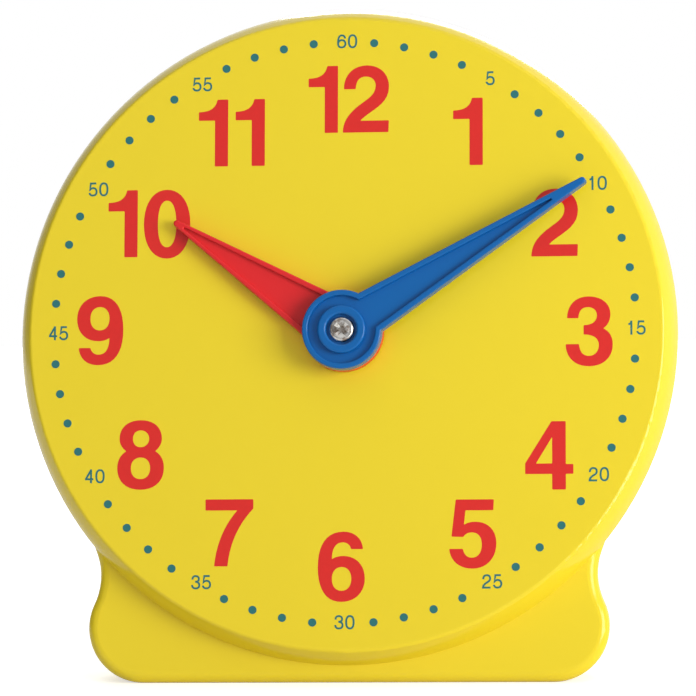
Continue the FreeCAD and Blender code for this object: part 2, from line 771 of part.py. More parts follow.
def makeMinuteArbor():
    """Shaft with the minute pinion moulded on it; a tooth points at the intermediate axle."""
    shaft = newBody("ArborShaft")
    section = newSketch(shaft, "Section", "XZ_Plane")
    drawOutline(section, [
        (0, minuteHandBase), (0, journalEnd), (d.journalRadius, journalEnd),
        (d.journalRadius, pinionFront), (d.arborCollarRadius, pinionFront),
        (d.arborCollarRadius, collarFront),
        (d.arborRadius, collarFront), (d.arborRadius, minuteHandBase),
    ])
    revolve(shaft, "Revolution", "Turned", section)
    key = newSketch(shaft, "KeyOutline", lift=minuteHandBase, turn=-d.minuteHandAngle.value)
    flattened(key, d.arborEndRadius, d.arborEndFlat)
    extrude(shaft, "Pad", "Key", key, arborEnd - minuteHandBase, False)
    pilot = newSketch(shaft, "PilotOutline", lift=arborEnd)
    drawCircle(pilot, 0, 0, d.handScrewRadius + d.screwPlay)
    extrude(shaft, "Pocket", "Pilot", pilot, d.handScrewLength + d.screwTipGap, True)
    pinion = gearBlank("MinutePinion", d.minuteTeeth, d.pinionAddendum, pinionRear,
                       d.minutePinionWidth, d.trainAngle.value)
    return finish(fused("MinuteArbor", [shaft, pinion]), "minute_arbor")


def makeIntermediateGear():
    """Wheel and pinion in one moulding; both mesh along the line of centres."""
    towardsAxis = d.trainAngle.value + 180
    wheel = gearBlank("FirstWheel", d.firstWheelTeeth, d.wheelAddendum, firstWheelRear,
                      d.firstWheelWidth, towardsAxis + toothPitch(d.firstWheelTeeth) / 2)
    outer = d.gearModule * d.firstWheelTeeth / 2 - d.wheelRimWidth
    recess = webRecess("FirstWheelRecess", outer, firstWheelRear - d.cutterOverrun,
                        firstWheelRear + d.wheelWeb)
    pinion = gearBlank("SecondPinion", d.secondPinionTeeth, d.pinionAddendum, firstWheelFront,
                       secondPinionFront - firstWheelFront, towardsAxis)
    hub = cylinder("IntermediateHub", d.axleBossRadius, hubRear, firstWheelRear + d.hubLift)
    solid = fused("IntermediateSolid", [cut("ThinnedWheel", wheel, recess), pinion, hub])
    bore = cylinder("IntermediateBore", d.axleRadius + d.runningPlay, hubRear - d.cutterOverrun,
                    secondPinionFront + d.cutterOverrun)
    return finish(cut("IntermediateGear", solid, bore), "intermediate_gear", spun(trainX, trainY, 0, 0))


def makeHourWheel():
    """Wheel with the tube that carries the hour hand; a tooth space faces the pinion."""
    turn = d.trainAngle.value + toothPitch(d.hourTeeth) / 2
    wheel = gearBlank("HourGear", d.hourTeeth, d.wheelAddendum, hourWheelRear, d.hourWheelWidth, turn)
    outer = d.gearModule * d.hourTeeth / 2 - d.wheelRimWidth
    recess = webRecess("HourWheelRecess", outer, hourWheelRear - d.cutterOverrun,
                        hourWheelRear + d.wheelWeb)
    tube = newBody("HourTube")
    barrel = newSketch(tube, "BarrelOutline", lift=hourWheelRear)
    drawCircle(barrel, 0, 0, d.hourTubeRadius)
    extrude(tube, "Pad", "Barrel", barrel, d.hourHandLift - hourWheelRear, False)
    spigot = newSketch(tube, "SpigotOutline", lift=d.hourHandLift, turn=-d.hourHandAngle.value)
    flattened(spigot, d.hourSpigotRadius, d.hourSpigotFlat)
    extrude(tube, "Pad", "Spigot", spigot, hourSpigotEnd - d.hourHandLift, False)
    solid = fused("HourSolid", [cut("ThinnedHourGear", wheel, recess), tube])
    bore = cylinder("HourBore", d.arborRadius + d.runningPlay, hourWheelRear - d.cutterOverrun,
                    hourSpigotEnd + d.cutterOverrun)
    return finish(cut("HourWheel", solid, bore), "hour_wheel")


def makeIntermediateAxle():
    axle = rod("IntermediateAxle", d.axleRadius, axleFrontEnd - axleRearEnd)
    return finish(axle, "intermediate_axle", spun(trainX, trainY, axleRearEnd, 0))


def makeFrictionWasher():
    rear = journalBossFace + d.washerPlay
    front = rear + d.washerThickness
    ring = cylinder("WasherDisc", d.washerRadius, rear, front)
    hole = cylinder("WasherHole", d.journalRadius + 2 * d.runningPlay, rear - d.cutterOverrun,
                    front + d.cutterOverrun)
    return finish(cut("FrictionWasher", ring, hole), "friction_washer")


# ---- hands ----

def makeHand(name, label, base, thickness, length, channelGap, halfRoot, floor, angle, addBoss):
    """Moulded hand: blade and hub in one, with a raised rim round a sunken floor."""
    body = newBody(name)
    outline = newSketch(body, "Outline")
    handOutline(outline, d.hubRadius, halfRoot, length, d.handTipRadius, nothing)
    blank = extrude(body, "Pad", "Blank", outline, thickness, False)
    blank.setExpression("TaperAngle", (-d.handDraft).text)
    sunken = newSketch(body, "SunkenFloor", lift=thickness)
    handOutline(sunken, d.hubRadius, halfRoot, length - channelGap, d.channelTipRadius,
                d.handRimWidth)
    channel = extrude(body, "Pocket", "Channel", sunken, thickness - floor, True)
    roundEdges(body, "RimEdges", channel, d.handEdgeRadius, edgeLiesAt(thickness))
    addBoss(body)
    return finish(body, label, spun(0, 0, base, -angle.value))


def makeMinuteHand():
    def addBoss(body):
        top = d.minuteHandThickness + d.handBossLift
        ring = newSketch(body, "BossOutline", lift=d.minuteHandFloor / 2)
        drawCircle(ring, 0, 0, d.handBossRadius)
        extrude(body, "Pad", "Boss", ring, top - d.minuteHandFloor / 2, False)
        recess = newSketch(body, "ScrewRecessOutline", lift=top)
        drawCircle(recess, 0, 0, d.screwRecessRadius)
        bored = extrude(body, "Pocket", "ScrewRecess", recess, top - d.screwSeat, True)
        roundEdges(body, "BossEdges", bored, d.handBossEdgeRadius, edgeLiesAt(top))
        hole = newSketch(body, "KeyHole", lift=d.screwSeat)
        flattened(hole, d.arborEndRadius + d.screwPlay, d.arborEndFlat + d.screwPlay)
        extrude(body, "Pocket", "KeyCut", hole, d.screwSeat * 2, True)

    return makeHand("MinuteHand", "minute_hand", minuteHandBase, d.minuteHandThickness,
                    d.minuteHandLength, d.minuteChannelGap, d.minuteHandRoot,
                    d.minuteHandFloor, d.minuteHandAngle, addBoss)


def makeHourHand():
    def addBoss(body):
        ring = newSketch(body, "BossOutline", lift=d.hourHandFloor / 2)
        drawCircle(ring, 0, 0, d.hourSpigotRadius + d.handRimWidth)
        extrude(body, "Pad", "Boss", ring, d.hourHandThickness - d.hourHandFloor / 2, False)
        hole = newSketch(body, "KeyHole", lift=d.hourHandThickness)
        flattened(hole, d.hourSpigotRadius + d.screwPlay, d.hourSpigotFlat + d.screwPlay)
        extrude(body, "Pocket", "KeyCut", hole, d.hourHandThickness * 2, True)

    return makeHand("HourHand", "hour_hand", d.hourHandLift, d.hourHandThickness,
                    d.hourHandLength, d.hourChannelGap, d.hourHandRoot,
                    d.hourHandFloor, d.hourHandAngle, addBoss)


# ---- easel leg ----

def makeSupportLeg():
    """Leg with its hinge axis along X at the origin, hanging along -Y when folded."""
    body = newBody("SupportLeg")
    backFace = legFace - d.legThickness
    halfTop = d.legTopWidth / 2
    halfTip = d.legTipWidth / 2
    corner = d.legCornerRadius

    def outline(sketch, inset, top):
        small = corner - inset
        drawOutline(sketch, [
            (halfTop - inset, top), (inset - halfTop, top),
            (inset - halfTip, corner - legLength), (corner - halfTip, inset - legLength, small),
            (halfTip - corner, inset - legLength), (halfTip - inset, corner - legLength, small),
        ])

    plate = newSketch(body, "PlateOutline", lift=backFace)
    outline(plate, nothing, nothing)
    extrude(body, "Pad", "Plate", plate, d.legThickness, False)
    barrel = newSketch(body, "BarrelOutline", "YZ_Plane", lift=-halfTop)
    drawCircle(barrel, 0, 0, d.barrelRadius)
    extrude(body, "Pad", "Barrel", barrel, d.legTopWidth, False)
    heel = newSketch(body, "HeelOutline", lift=backFace)
    drawBox(heel, -halfTop, 0, halfTop, heelLength)
    extrude(body, "Pad", "Heel", heel, d.heelFace - backFace, False)
    panel = newSketch(body, "PanelOutline", lift=backFace)
    outline(panel, d.legRim, -d.barrelRadius - d.legRim)
    extrude(body, "Pocket", "Panel", panel, d.legPanelDepth, False)
    bore = newSketch(body, "BoreOutline", "YZ_Plane", lift=-halfTop)
    drawCircle(bore, 0, 0, d.hingePinRadius + d.runningPlay)
    extrude(body, "Pocket", "Bore", bore, d.legTopWidth, False)
    opened = FreeCAD.Rotation(FreeCAD.Vector(1, 0, 0), d.legOpenAngle.value)
    place = FreeCAD.Placement(FreeCAD.Vector(0, d.hingeHeight.value, -hingeDepth.value), opened)
    return finish(body, "support_leg", place)


def makeHingePin():
    halfSpan = d.legTopWidth / 2 + d.lugSideGap + d.lugWidth
    pin = rod("HingePin", d.hingePinRadius, halfSpan * 2)
    along = FreeCAD.Rotation(FreeCAD.Vector(0, 1, 0), 90)
    start = FreeCAD.Vector(-halfSpan.value, d.hingeHeight.value, -hingeDepth.value)
    return finish(pin, "leg_hinge_pin", FreeCAD.Placement(start, along))


# ---- build, check and write ----

makeFrontShell()
makeRearShell()
makeHourWheel()
makeMinuteArbor()
makeIntermediateGear()
makeIntermediateAxle()
makeFrictionWasher()
makeHourHand()
makeMinuteHand()
makeHandScrew()
makeCoverScrews()
makeSupportLeg()
makeHingePin()
doc.recompute()

for thing in doc.Objects:
    if "Invalid" in thing.State or "Error" in thing.State:
        raise RuntimeError(f"{thing.Name} failed: {thing.State}")
for piece in pieces:
    shape = piece.Shape
    if shape.isNull() or not shape.isValid() or len(shape.Solids) != 1:
        raise RuntimeError(f"{piece.Label} is not one valid solid")

os.makedirs("parts", exist_ok=True)
for piece in pieces:
    piece.Shape.exportStep(f"parts/{piece.Label}.step")
    box = piece.Shape.BoundBox
    extent = f"{box.XLength:6.1f} {box.YLength:6.1f} {box.ZLength:6.1f}"
    print(f"{piece.Label:20s} {piece.Shape.Volume:9.1f} mm3  {extent}")
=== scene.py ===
import json
import math

import bmesh
import bpy
from mathutils import Matrix, Vector
from mathutils.geometry import tessellate_polygon


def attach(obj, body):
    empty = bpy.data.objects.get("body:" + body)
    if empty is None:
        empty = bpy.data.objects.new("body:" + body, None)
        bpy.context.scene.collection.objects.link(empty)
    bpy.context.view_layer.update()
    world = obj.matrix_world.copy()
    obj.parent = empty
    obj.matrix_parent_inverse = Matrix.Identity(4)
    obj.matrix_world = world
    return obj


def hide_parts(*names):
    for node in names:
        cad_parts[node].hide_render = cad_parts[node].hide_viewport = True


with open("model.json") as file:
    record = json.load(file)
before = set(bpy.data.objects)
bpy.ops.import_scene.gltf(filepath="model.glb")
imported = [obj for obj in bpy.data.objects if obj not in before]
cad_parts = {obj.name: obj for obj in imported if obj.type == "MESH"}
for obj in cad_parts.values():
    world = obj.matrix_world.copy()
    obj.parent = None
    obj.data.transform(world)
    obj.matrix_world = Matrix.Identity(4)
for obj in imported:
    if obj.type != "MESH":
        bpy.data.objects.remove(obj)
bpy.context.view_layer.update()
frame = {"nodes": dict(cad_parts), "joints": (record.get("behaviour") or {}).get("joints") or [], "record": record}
print("frame loaded:", len(frame["nodes"]), "nodes")

mm = 0.001

dialPrint = {
    "shiftX": -0.21,            # centre of the print from the hands' axis
    "shiftY": 0.27,
    "inkThickness": 0.02,
    "inkStep": 0.0005,          # each further stroke lies this much higher, so that none coincide
    "inkDepth": 0.01,           # how far the ink reaches below the dial's face
    "curveSteps": 10,           # straight pieces that stand for each curve
    "sameSpot": 0.0001,         # points nearer than this are one point
}

# The dial's own axes. The hands turn about the one that goes into the dial.
minuteJoint = next(joint for joint in frame["joints"] if joint["name"] == "minute_turn")
intoDial = Vector(minuteJoint["axis"]).normalized()
toReader = -intoDial
acrossDial = Vector((1, 0, 0))
upDial = toReader.cross(acrossDial)
printCentre = (Vector(minuteJoint["pos_m"]) + acrossDial * dialPrint["shiftX"] * mm
               + upDial * dialPrint["shiftY"] * mm)


# World place of a point given in millimetres from the print's centre
def onDial(x, y, z=0.0):
    return printCentre + (acrossDial * x + upDial * y + toReader * z) * mm


def addObject(name, data):
    thing = bpy.data.objects.new(name, data)
    bpy.context.scene.collection.objects.link(thing)
    return thing


def circleAngles(count):
    return [2 * math.pi * k / count for k in range(count)]


# A hex sRGB colour as the linear one that shaders take, by the curve of the sRGB standard
def linearColour(hexColour):
    channels = [value / 255 for value in bytes.fromhex(hexColour)]
    return [c / 12.92 if c <= 0.04045 else ((c + 0.055) / 1.055) ** 2.4 for c in channels] + [1.0]


# Adds one shader node to a material or the world. An input is a plain value or a socket to link from.
def addNode(owner, kind, inputs, **settings):
    node = owner.node_tree.nodes.new(kind)
    for name, value in settings.items():
        setattr(node, name, value)
    for name, value in inputs.items():
        if isinstance(value, bpy.types.NodeSocket):
            owner.node_tree.links.new(value, node.inputs[name])
        else:
            node.inputs[name].default_value = value
    return node


def newMaterial(name):
    material = bpy.data.materials.new(name)
    material.use_nodes = True
    material.node_tree.nodes.clear()
    return material


# Noise scale that gives features about this many millimetres across
def scaleFor(size):
    return 1 / (size * mm)


# Fine relief on a surface, in millimetres across and deep, over the relief that is already there
def relief(material, size, depth, detail, under=None):
    noise = addNode(material, "ShaderNodeTexNoise", {
        "Vector": addNode(material, "ShaderNodeTexCoord", {}).outputs["Object"],
        "Scale": scaleFor(size), "Detail": detail,
    })
    inputs = {"Height": noise.outputs["Fac"], "Distance": depth * mm, "Strength": 1.0}
    if under:
        inputs["Normal"] = under
    return addNode(material, "ShaderNodeBump", inputs).outputs["Normal"]


# ABS from a polished mould: a deep glossy colour. Its highlights waver where the flat wall sank as it
# cooled, have the faint broken edge of a moulded grain, and are duller where it has been handled.
mouldedAbs = {
    "yellow": "f3d92e",
    "red": "e4282c",
    "blue": "0864ad",
    "dialRoughness": 0.16,
    "handRoughness": 0.22,
    "glossier": 0.03,           # how far the roughness wanders down and up
    "duller": 0.05,
    "ior": 1.5,
    "specular": 0.34,
    "sinkSize": 26.0,
    "sinkDepth": 0.02,
    "grainSize": 0.35,          # coarser than the real grain, so that it shows
    "grainDepth": 0.0012,
    "handledSize": 14.0,
    "handledFrom": 0.3,         # nearly all of the noise lies between these
    "handledTo": 0.7,
}


def makeMouldedAbs(name, colour, roughness):
    material = newMaterial(name)
    waves = relief(material, mouldedAbs["sinkSize"], mouldedAbs["sinkDepth"], 1.0)
    grain = relief(material, mouldedAbs["grainSize"], mouldedAbs["grainDepth"], 2.0, waves)
    handled = addNode(material, "ShaderNodeTexNoise", {
        "Vector": addNode(material, "ShaderNodeTexCoord", {}).outputs["Object"],
        "Scale": scaleFor(mouldedAbs["handledSize"]), "Detail": 4.0,
    })
    gloss = addNode(material, "ShaderNodeMapRange", {
        "Value": handled.outputs["Fac"],
        "From Min": mouldedAbs["handledFrom"], "From Max": mouldedAbs["handledTo"],
        "To Min": roughness - mouldedAbs["glossier"], "To Max": roughness + mouldedAbs["duller"],
    })
    shader = addNode(material, "ShaderNodeBsdfPrincipled", {
        "Base Color": linearColour(colour), "Roughness": gloss.outputs["Result"],
        "IOR": mouldedAbs["ior"], "Specular IOR Level": mouldedAbs["specular"], "Normal": grain,
    })
    addNode(material, "ShaderNodeOutputMaterial", {"Surface": shader.outputs["BSDF"]})
    return material


# Pad-printed ink: an even film, duller than the plastic around it, with a hint of mottle.
printedInk = {
    "red": "e2221b",
    "teal": "247476",
    "roughness": 0.36,
    "ior": 1.5,
    "mottleSize": 0.8,
    "darkest": 0.96,
    "palest": 1.04,
}


def makePrintedInk(name, colour):
    material = newMaterial(name)
    mottle = addNode(material, "ShaderNodeTexNoise", {
        "Vector": addNode(material, "ShaderNodeTexCoord", {}).outputs["Object"],
        "Scale": scaleFor(printedInk["mottleSize"]), "Detail": 3.0,
    })
    brightness = addNode(material, "ShaderNodeMapRange", {
        "Value": mottle.outputs["Fac"], "To Min": printedInk["darkest"], "To Max": printedInk["palest"],
    })
    tone = addNode(material, "ShaderNodeHueSaturation", {
        "Color": linearColour(colour), "Value": brightness.outputs["Result"],
    })
    shader = addNode(material, "ShaderNodeBsdfPrincipled", {
        "Base Color": tone.outputs["Color"], "Roughness": printedInk["roughness"],
        "IOR": printedInk["ior"],
    })
    addNode(material, "ShaderNodeOutputMaterial", {"Surface": shader.outputs["BSDF"]})
    return material


# Natural acetal, moulded into gears: milky and waxy, because light carries a little way into it.
mouldedAcetal = {
    "colour": "ece9de",
    "roughness": 0.4,
    "ior": 1.48,
    "glow": 0.3,                # share of the light that goes inside
    "glowDepth": 1.2,
    "grainSize": 0.5,
    "grainDepth": 0.002,
}


def makeMouldedAcetal(name):
    material = newMaterial(name)
    shader = addNode(material, "ShaderNodeBsdfPrincipled", {
        "Base Color": linearColour(mouldedAcetal["colour"]), "Roughness": mouldedAcetal["roughness"],
        "IOR": mouldedAcetal["ior"], "Subsurface Weight": mouldedAcetal["glow"],
        "Subsurface Scale": mouldedAcetal["glowDepth"] * mm,
        "Normal": relief(material, mouldedAcetal["grainSize"], mouldedAcetal["grainDepth"], 2.0),
    })
    addNode(material, "ShaderNodeOutputMaterial", {"Surface": shader.outputs["BSDF"]})
    return material


# Zinc plating is bright, with a fine crystal grain and the warm patches that its passivation leaves. A
# ground steel pin is greyer, with the finer grain of the stone and faint dull patches. Both grains are
# drawn coarser than real ones, so that they show.
zincPlatedSteel = {
    "colour": "dedcd8", "stain": "a08e80", "roughness": 0.22, "grainSize": 0.3, "grainDepth": 0.004,
}
groundSteel = {
    "colour": "acacae", "stain": "969594", "roughness": 0.3, "grainSize": 0.12, "grainDepth": 0.003,
}
steelPatches = {
    "size": 1.1,
    "start": 0.46,              # noise value at which the metal starts to stain
    "end": 0.62,
}


def makeBrightSteel(name, finish):
    material = newMaterial(name)
    patches = addNode(material, "ShaderNodeTexNoise", {
        "Vector": addNode(material, "ShaderNodeTexCoord", {}).outputs["Object"],
        "Scale": scaleFor(steelPatches["size"]), "Detail": 3.0,
    })
    stained = addNode(material, "ShaderNodeValToRGB", {"Fac": patches.outputs["Fac"]})
    for stop, key, colour in zip(stained.color_ramp.elements, ("start", "end"), ("colour", "stain")):
        stop.position = steelPatches[key]
        stop.color = linearColour(finish[colour])
    shader = addNode(material, "ShaderNodeBsdfPrincipled", {
        "Base Color": stained.outputs["Color"], "Metallic": 1.0, "Roughness": finish["roughness"],
        "Normal": relief(material, finish["grainSize"], finish["grainDepth"], 4.0),
    })
    addNode(material, "ShaderNodeOutputMaterial", {"Surface": shader.outputs["BSDF"]})
    return material


# Black rubber, moulded and left matt: it shows a fine grain and no clear highlight.
mouldedRubber = {
    "colour": "262628",
    "roughness": 0.75,
    "grainSize": 0.25,
    "grainDepth": 0.01,
}


def makeMouldedRubber(name):
    material = newMaterial(name)
    shader = addNode(material, "ShaderNodeBsdfPrincipled", {
        "Base Color": linearColour(mouldedRubber["colour"]), "Roughness": mouldedRubber["roughness"],
        "Normal": relief(material, mouldedRubber["grainSize"], mouldedRubber["grainDepth"], 4.0),
    })
    addNode(material, "ShaderNodeOutputMaterial", {"Surface": shader.outputs["BSDF"]})
    return material


materials = {
    "abs_yellow": makeMouldedAbs("moulded yellow ABS", mouldedAbs["yellow"], mouldedAbs["dialRoughness"]),
    "abs_red": makeMouldedAbs("moulded red ABS", mouldedAbs["red"], mouldedAbs["handRoughness"]),
    "abs_blue": makeMouldedAbs("moulded blue ABS", mouldedAbs["blue"], mouldedAbs["handRoughness"]),
    "pom_white": makeMouldedAcetal("moulded natural acetal"),
    "steel_pin": makeBrightSteel("ground steel", groundSteel),
    "zinc_screw": makeBrightSteel("zinc-plated steel", zincPlatedSteel),
    "washer_rubber": makeMouldedRubber("moulded black rubber"),
}
redInk = makePrintedInk("pad-printed red ink", printedInk["red"])
tealInk = makePrintedInk("pad-printed teal ink", printedInk["teal"])
print("materials made:", len(bpy.data.materials))

for part in frame["record"]["subparts"]:
    for slot in frame["nodes"][part["node"]].material_slots:
        slot.material = materials[part["material_slot"]]

# Digits, 1000 units tall, up from the line that they stand on. Two numbers are the end of a straight
# side, and six are a curve, as its two handles and its end. A bold digit is its outline, then its holes.
boldDigits = {
    "0": [
        [(0, 486), (0, 800, 138, 1000, 346, 1000), (554, 1000, 693, 800, 693, 486),
         (693, 172, 554, -27, 346, -27), (138, -27, 0, 172, 0, 486)],
        [(209, 486), (209, 700, 255, 838, 346, 838), (437, 838, 484, 700, 484, 486),
         (484, 272, 437, 143, 346, 143), (255, 143, 209, 272, 209, 486)],
    ],
    "1": [
        [(241, 0), (437, 0), (437, 1000), (278, 1000), (255, 872, 165, 815, 0, 815), (0, 687), (241, 687)],
    ],
    "2": [
        [(0, 0), (676, 0), (683, 175), (259, 175), (400, 330, 685, 400, 685, 679),
         (685, 870, 550, 1000, 355, 1000), (150, 1000, 15, 860, 15, 648), (190, 648),
         (195, 765, 240, 833, 340, 833), (430, 833, 487, 775, 487, 700),
         (487, 560, 370, 500, 270, 425), (120, 315, 0, 190, 0, 0)],
    ],
    "3": [
        [(0, 300), (5, 90, 150, -27, 342, -27), (545, -27, 689, 95, 689, 292),
         (689, 405, 640, 490, 550, 528), (620, 570, 656, 650, 656, 742),
         (656, 895, 525, 1000, 336, 1000), (150, 1000, 28, 880, 22, 681), (189, 681),
         (192, 785, 240, 842, 325, 842), (405, 842, 459, 795, 459, 722),
         (459, 630, 390, 578, 264, 578), (264, 440), (400, 440, 486, 390, 486, 284),
         (486, 190, 425, 126, 342, 126), (250, 126, 205, 190, 197, 300)],
    ],
    "4": [
        [(394, 0), (593, 0), (593, 229), (703, 229), (703, 372), (593, 372), (593, 1000), (385, 1000),
         (0, 385), (0, 229), (394, 229)],
        [(394, 382), (394, 770), (157, 382)],
    ],
    "5": [
        [(33, 441), (96, 983), (653, 983), (645, 824), (238, 824), (216, 612),
         (265, 645, 320, 657, 386, 657), (570, 657, 689, 530, 689, 345),
         (689, 120, 545, -27, 339, -27), (150, -27, 15, 85, 0, 262), (201, 262),
         (215, 180, 260, 133, 331, 133), (420, 133, 477, 205, 477, 322),
         (477, 435, 425, 501, 331, 501), (275, 501, 235, 480, 207, 435)],
    ],
    "7": [
        [(0, 983), (707, 983), (707, 845), (520, 650, 360, 370, 328, 0), (131, 0),
         (160, 330, 290, 620, 472, 820), (0, 820)],
    ],
    "8": [
        [(134, 542), (68, 590, 32, 650, 32, 728), (32, 890, 150, 1000, 346, 1000),
         (545, 1000, 661, 890, 661, 728), (661, 650, 620, 585, 561, 542),
         (645, 495, 693, 410, 693, 292), (693, 100, 560, -27, 346, -27),
         (130, -27, 0, 100, 0, 292), (0, 410, 50, 495, 134, 542)],
        [(346, 849), (272, 849, 231, 795, 231, 725), (231, 655, 272, 602, 346, 602),
         (420, 602, 473, 655, 473, 725), (473, 795, 420, 849, 346, 849)],
        [(346, 449), (255, 449, 202, 385, 202, 290), (202, 195, 255, 131, 346, 131),
         (437, 131, 489, 195, 489, 290), (489, 385, 437, 449, 346, 449)],
    ],
    "9": [
        [(484, 376), (440, 345, 385, 329, 317, 329), (130, 329, 0, 460, 0, 660),
         (0, 860, 140, 1000, 346, 1000), (560, 1000, 691, 830, 691, 490),
         (691, 160, 560, -27, 317, -27), (150, -27, 40, 70, 27, 229), (203, 229),
         (215, 170, 255, 130, 327, 130), (430, 130, 484, 220, 484, 376)],
        [(341, 837), (255, 837, 198, 770, 198, 664), (198, 555, 255, 490, 341, 490),
         (427, 490, 484, 555, 484, 664), (484, 770, 427, 837, 341, 837)],
    ],
}

# A thin digit is the middle line of each of its strokes.
thinDigits = {
    "0": [
        [(60, 500), (60, 800, 160, 940, 338, 940), (516, 940, 616, 800, 616, 500),
         (616, 200, 516, 60, 338, 60), (160, 60, 60, 200, 60, 500)],
    ],
    "1": [
        [(206, 750), (326, 755, 396, 810, 426, 960)],
        [(426, 1000), (426, 0)],
    ],
    "2": [
        [(75, 650), (75, 830, 170, 940, 335, 940), (490, 940, 590, 850, 590, 700),
         (590, 420, 75, 420, 60, 60), (610, 60)],
    ],
    "3": [
        [(80, 690), (80, 860, 180, 940, 320, 940), (470, 940, 565, 860, 565, 730),
         (565, 600, 460, 535, 290, 535)],
        [(290, 535), (480, 535, 600, 440, 600, 290), (600, 140, 480, 60, 325, 60),
         (160, 60, 60, 150, 60, 310)],
    ],
    "4": [
        [(470, 0), (470, 1000)],
        [(440, 900), (90, 320)],
        [(20, 290), (640, 290)],
    ],
    "5": [
        [(570, 940), (165, 940), (95, 480), (160, 560, 240, 600, 330, 600),
         (500, 600, 600, 490, 600, 330), (600, 160, 490, 60, 320, 60), (170, 60, 70, 140, 60, 260)],
    ],
    "6": [
        [(585, 710), (560, 860, 470, 940, 340, 940), (150, 940, 60, 760, 60, 470), (60, 325)],
        [(60, 325), (60, 160, 160, 60, 335, 60), (490, 60, 610, 170, 610, 335),
         (610, 490, 500, 590, 345, 590), (190, 590, 60, 490, 60, 325)],
    ],
}


# Points, in millimetres, along one line of a digit
def drawn(line, scale, left, base, narrow=1.0):
    points = []
    for step in line:
        pairs = zip(step[::2], step[1::2])
        ends = [Vector((left + x * scale * narrow, base + y * scale)) for x, y in pairs]
        if len(ends) == 1:
            points += ends
            continue
        a = points[-1]
        b, c, d = ends
        for n in range(1, dialPrint["curveSteps"] + 1):
            t = n / dialPrint["curveSteps"]
            s = 1 - t
            points.append(a * s**3 + b * (3 * s * s * t) + c * (3 * s * t * t) + d * t**3)
    return points


# Ink on the dial, with sides that go a little into it. Each shape is its outline and then its holes.
def addInk(name, shapes, ink):
    vertices = []
    faces = []
    for k, loops in enumerate(shapes):
        start = len(vertices)
        top = dialPrint["inkThickness"] + k * dialPrint["inkStep"]
        points = [point for loop in loops for point in loop]
        vertices += [onDial(point.x, point.y, top) for point in points]
        vertices += [onDial(point.x, point.y, -dialPrint["inkDepth"]) for point in points]
        filled = tessellate_polygon([[point.to_3d() for point in loop] for loop in loops])
        faces += [tuple(start + corner for corner in triangle) for triangle in filled]
        for loop in loops:
            for i in range(len(loop)):
                first = start + i
                second = start + (i + 1) % len(loop)
                faces.append((first, second, second + len(points), first + len(points)))
            start += len(loop)
    mesh = bpy.data.meshes.new(name)
    mesh.from_pydata(vertices, [], faces)
    mesh.update()
    mesh.materials.append(ink)
    piece = addObject(name, mesh)
    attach(piece, "case")


hourNumerals = {
    "height": 12.85,
    "cornerCut": 0.16,          # how far each sharp corner of the ink is rounded back
    "sharpTurn": 30,            # degrees
    "roomForCut": 1.2,          # a side shorter than this many cuts keeps its corners
    "middleOf9": (345.5, 486.5),                # a 6 is a 9 turned half round here
    # For each number the line that it stands on, and then the left edge of each digit, from the
    # print's centre
    "places": {
        "1": (31.31, 20.81), "2": (13.74, 35.56), "3": (-6.79, 41.95), "4": (-30.27, 34.3),
        "5": (-44.65, 20.01), "6": (-50.78, -4.75), "7": (-44.34, -26.09), "8": (-29.44, -42.98),
        "9": (-5.69, -50.89), "10": (14.54, -45.02, -38.2), "11": (31.73, -27.75, -20.7),
        "12": (37.86, -6.74, -0.19),
    },
}


# Rounds the sharp corners of a closed outline
def softened(points):
    reach = hourNumerals["cornerCut"]
    result = []
    for i, point in enumerate(points):
        before = points[i - 1] - point
        after = points[(i + 1) % len(points)] - point
        turn = math.degrees(math.pi - before.angle(after))
        room = min(before.length, after.length)
        if turn < hourNumerals["sharpTurn"] or room < reach * hourNumerals["roomForCut"]:
            result.append(point)
            continue
        start = point + before.normalized() * reach
        end = point + after.normalized() * reach
        halfway = start * 0.25 + point * 0.5 + end * 0.25       # middle of a curve round the corner
        result += [start, halfway, end]
    return result


def boldLoops(digit, left, base):
    scale = hourNumerals["height"] / 1000
    loops = []
    for line in boldDigits["9" if digit == "6" else digit]:
        points = drawn(line, scale, left, base)
        if (points[0] - points[-1]).length < dialPrint["sameSpot"]:
            points.pop()
        loops.append(softened(points))
    if digit == "6":
        x, y = hourNumerals["middleOf9"]
        middle = Vector((left + x * scale, base + y * scale))
        loops = [[middle * 2 - point for point in loop] for loop in loops]
    return loops


def addHourNumerals():
    for label, (base, *lefts) in hourNumerals["places"].items():
        addInk("hourNumeral" + label, [boldLoops(*digit, base) for digit in zip(label, lefts)], redInk)


minuteNumerals = {
    "height": 2.64,
    "stroke": 140,              # this and the next two in thousandths of the height
    "cell": 776,                # from one digit to the next
    "inset": 52,                # from the edge of a cell to its digit
    "narrow": 0.96,             # width against the width drawn
    "mitre": 0.5,               # keeps a stroke's sharp corners from running out into spikes
    "centres": {                # middle of each number, from the print's centre
        5: (27.9, 47.85), 10: (47.96, 27.56), 15: (55.14, 0.07), 20: (48.13, -27.44),
        25: (28.12, -47.4), 30: (0.34, -54.94), 35: (-26.8, -47.31), 40: (-47.26, -27.17),
        45: (-54.43, 0.14), 50: (-46.96, 27.64), 55: (-27.07, 47.56), 60: (0.65, 55.41),
    },
}


# Outline of a stroke of even width along a line of points
def ribbon(points, width):
    runs = [(end - start).normalized() for start, end in zip(points, points[1:])]
    left = []
    right = []
    for i, point in enumerate(points):
        meeting = runs[i:i + 1] + runs[max(i - 1, 0):i]         # the run ahead and the run behind
        along = sum(meeting, Vector((0, 0))).normalized()
        across = Vector((-along.y, along.x))
        spread = max(abs(along.dot(meeting[0])), minuteNumerals["mitre"])
        left.append(point + across * width / 2 / spread)
        right.append(point - across * width / 2 / spread)
    return left + right[::-1]


